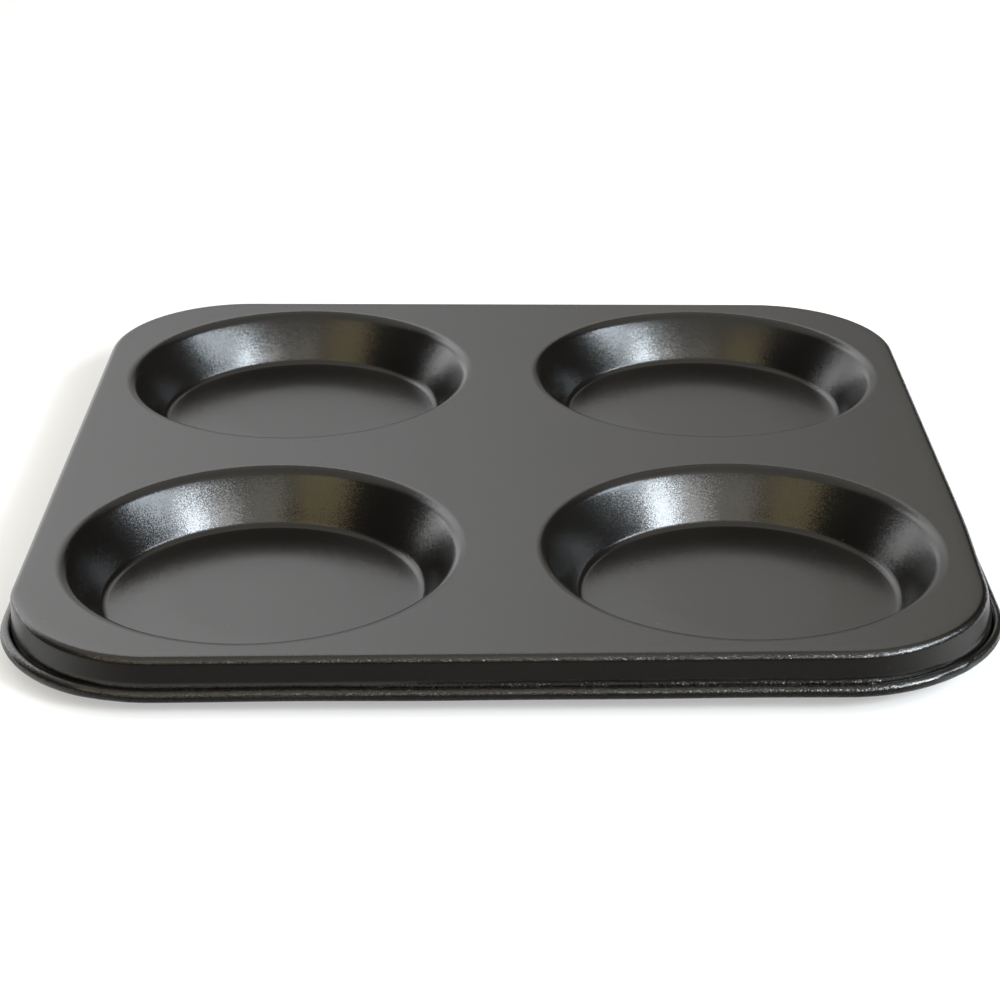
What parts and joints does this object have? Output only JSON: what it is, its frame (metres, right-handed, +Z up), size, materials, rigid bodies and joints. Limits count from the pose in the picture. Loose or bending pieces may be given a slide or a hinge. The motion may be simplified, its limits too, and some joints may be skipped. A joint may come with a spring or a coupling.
{
  "type": "yorkshire pudding pan",
  "caption": "Square sheet-steel baking pan with wide shallow tapered cups pressed into a flat deck, a short upright skirt and an edge rolled round a stiffening wire, coated dark non-stick.",
  "frame": {"origin": "on the surface that the pan stands on, under the middle of the pan", "axes": "+Z up, +X to the right and +Y to the back as the picture shows the pan"},
  "size_m": [0.24, 0.24, 0.014],
  "materials": {
    "coating": "satin dark grey non-stick coating, baked on",
    "wire": "drawn steel wire, uncoated"
  },
  "bodies": {
    "root": {"deck": "coating", "cup_front_left": "coating", "cup_front_right": "coating", "cup_back_left": "coating", "cup_back_right": "coating", "skirt": "coating", "rolled_rim": "coating", "rim_wire": "wire"}
  },
  "joints": []
}
